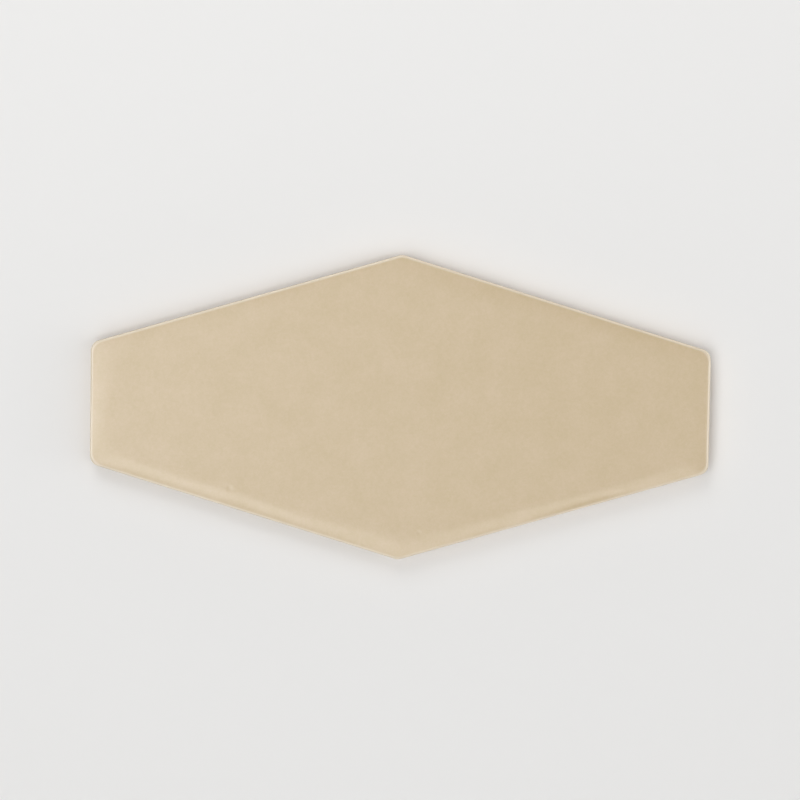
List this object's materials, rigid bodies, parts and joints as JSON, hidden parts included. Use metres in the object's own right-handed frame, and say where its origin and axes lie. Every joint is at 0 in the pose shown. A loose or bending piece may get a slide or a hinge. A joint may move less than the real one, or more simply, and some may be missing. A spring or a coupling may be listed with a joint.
{
  "type": "elongated hexagon wall tile",
  "caption": "Elongated hexagon wall tile in gloss beige glaze, with a soft cushion edge, rounded corners and a waffle-pressed back for the adhesive bed.",
  "frame": {"origin": "centre of the tile's back, on the plane of its ribs", "axes": "+X along the length, from one upright end to the other; +Y towards one apex; +Z out of the glazed face"},
  "size_m": [0.203, 0.1, 0.008],
  "materials": {
    "glazed_clay": "gloss"
  },
  "bodies": {
    "root": {"hexagon_tile": "glazed_clay"}
  },
  "joints": []
}
